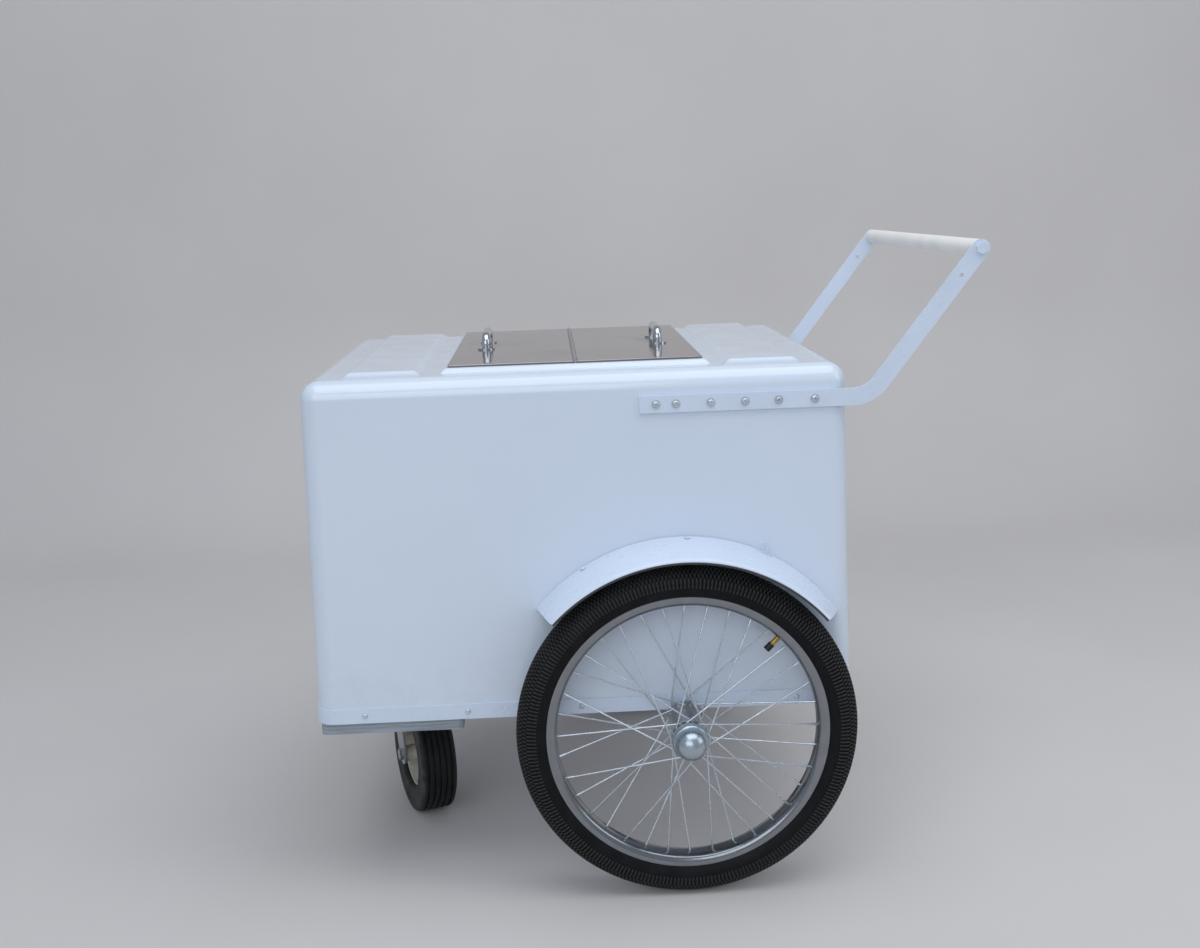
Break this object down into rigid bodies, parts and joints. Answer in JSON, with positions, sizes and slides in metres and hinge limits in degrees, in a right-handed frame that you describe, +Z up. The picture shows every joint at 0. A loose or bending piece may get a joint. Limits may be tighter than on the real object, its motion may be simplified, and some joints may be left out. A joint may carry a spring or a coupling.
{
  "type": "push_vending_cart",
  "caption": "White insulated push vending cart with spoked wheels, a front swivel caster, hinged steel lids and a bent flat-bar push handle",
  "frame": {"origin": "on the floor, midway along and across the cart", "axes": "+X to the push handle, +Y to the pusher's right, +Z up; the caster end is the front, -X"},
  "size_m": [1.0119, 0.9312, 0.9563],
  "materials": {
    "shell_white": "glossy moulded gelcoat",
    "liner_white": "smooth white liner",
    "foam": "rigid foam",
    "panel": "plain panel",
    "white_paint": "white gloss paint",
    "grip_white": "warm white sleeve",
    "zinc": "zinc plated steel",
    "stainless": "polished stainless sheet",
    "chrome": "bright chrome",
    "tyre_black": "black rubber",
    "board": "weathered grey board",
    "brass": "plain brass",
    "caster_paint": "off-white paint",
    "dark_bracket": "dark bracket",
    "caster_tyre_black": "dusty black rubber"
  },
  "bodies": {
    "cart": {"outer_shell": "shell_white", "inner_liner": "liner_white", "insulation_foam": "foam", "base_pan": "panel", "base_band": "white_paint", "band_screws": "zinc", "caster_board": "board", "board_bolts": "zinc", "caster_plate": "zinc", "caster_kingpin": "zinc", "axle": "zinc", "axle_brackets": "zinc", "bracket_bolts": "zinc", "axle_nuts": "zinc", "left_fender": "white_paint", "right_fender": "white_paint", "fender_brackets": "dark_bracket", "fender_screws": "white_paint", "fender_wire_tie": "white_paint", "left_arm": "white_paint", "right_arm": "white_paint", "arm_screws": "zinc", "arm_washers": "zinc", "grip_tube": "grip_white", "grip_rod": "zinc", "grip_bolts": "white_paint", "hinge_bar": "zinc", "hinge_pin": "zinc"},
    "front_lid": {"front_lid_skin": "stainless", "front_lid_core": "foam", "front_lid_pan": "liner_white", "front_lid_leaf": "zinc", "front_lid_pull": "chrome", "front_lid_pull_nuts": "zinc"},
    "rear_lid": {"rear_lid_skin": "stainless", "rear_lid_core": "foam", "rear_lid_pan": "liner_white", "rear_lid_leaf": "zinc", "rear_lid_pull": "chrome", "rear_lid_pull_nuts": "zinc"},
    "left_wheel": {"left_tyre": "tyre_black", "left_rim": "chrome", "left_hub": "chrome", "left_spokes": "zinc", "left_nipples": "zinc", "left_valve": "brass", "left_hub_cap": "chrome"},
    "right_wheel": {"right_tyre": "tyre_black", "right_rim": "chrome", "right_hub": "chrome", "right_spokes": "zinc", "right_nipples": "zinc", "right_valve": "brass", "right_hub_cap": "chrome"},
    "caster_fork": {"caster_fork": "zinc", "caster_axle": "zinc"},
    "caster_wheel": {"caster_rim": "caster_paint", "caster_tyre": "caster_tyre_black"}
  },
  "joints": [
    {"name": "front_lid_hinge", "type": "hinge", "parent": "cart", "child": "front_lid", "pos_m": [-0.09258, 0, 0.7949], "axis": [0, 1, 0], "range_deg": [0, 75]},
    {"name": "rear_lid_hinge", "type": "hinge", "parent": "cart", "child": "rear_lid", "pos_m": [-0.09258, 0, 0.7949], "axis": [0, -1, 0], "range_deg": [0, 75]},
    {"name": "left_wheel_spin", "type": "hinge", "parent": "cart", "child": "left_wheel", "pos_m": [0.05142, -0.38457, 0.254], "axis": [0, 1, 0], "continuous": true},
    {"name": "right_wheel_spin", "type": "hinge", "parent": "cart", "child": "right_wheel", "pos_m": [0.05142, 0.38457, 0.254], "axis": [0, 1, 0], "continuous": true},
    {"name": "caster_swivel", "type": "hinge", "parent": "cart", "child": "caster_fork", "pos_m": [-0.38958, 0, 0.252], "axis": [0, 0, 1], "continuous": true},
    {"name": "caster_wheel_spin", "type": "hinge", "parent": "caster_fork", "child": "caster_wheel", "pos_m": [-0.37521, -0.03947, 0.101], "axis": [0.9397, 0.342, 0], "continuous": true}
  ]
}
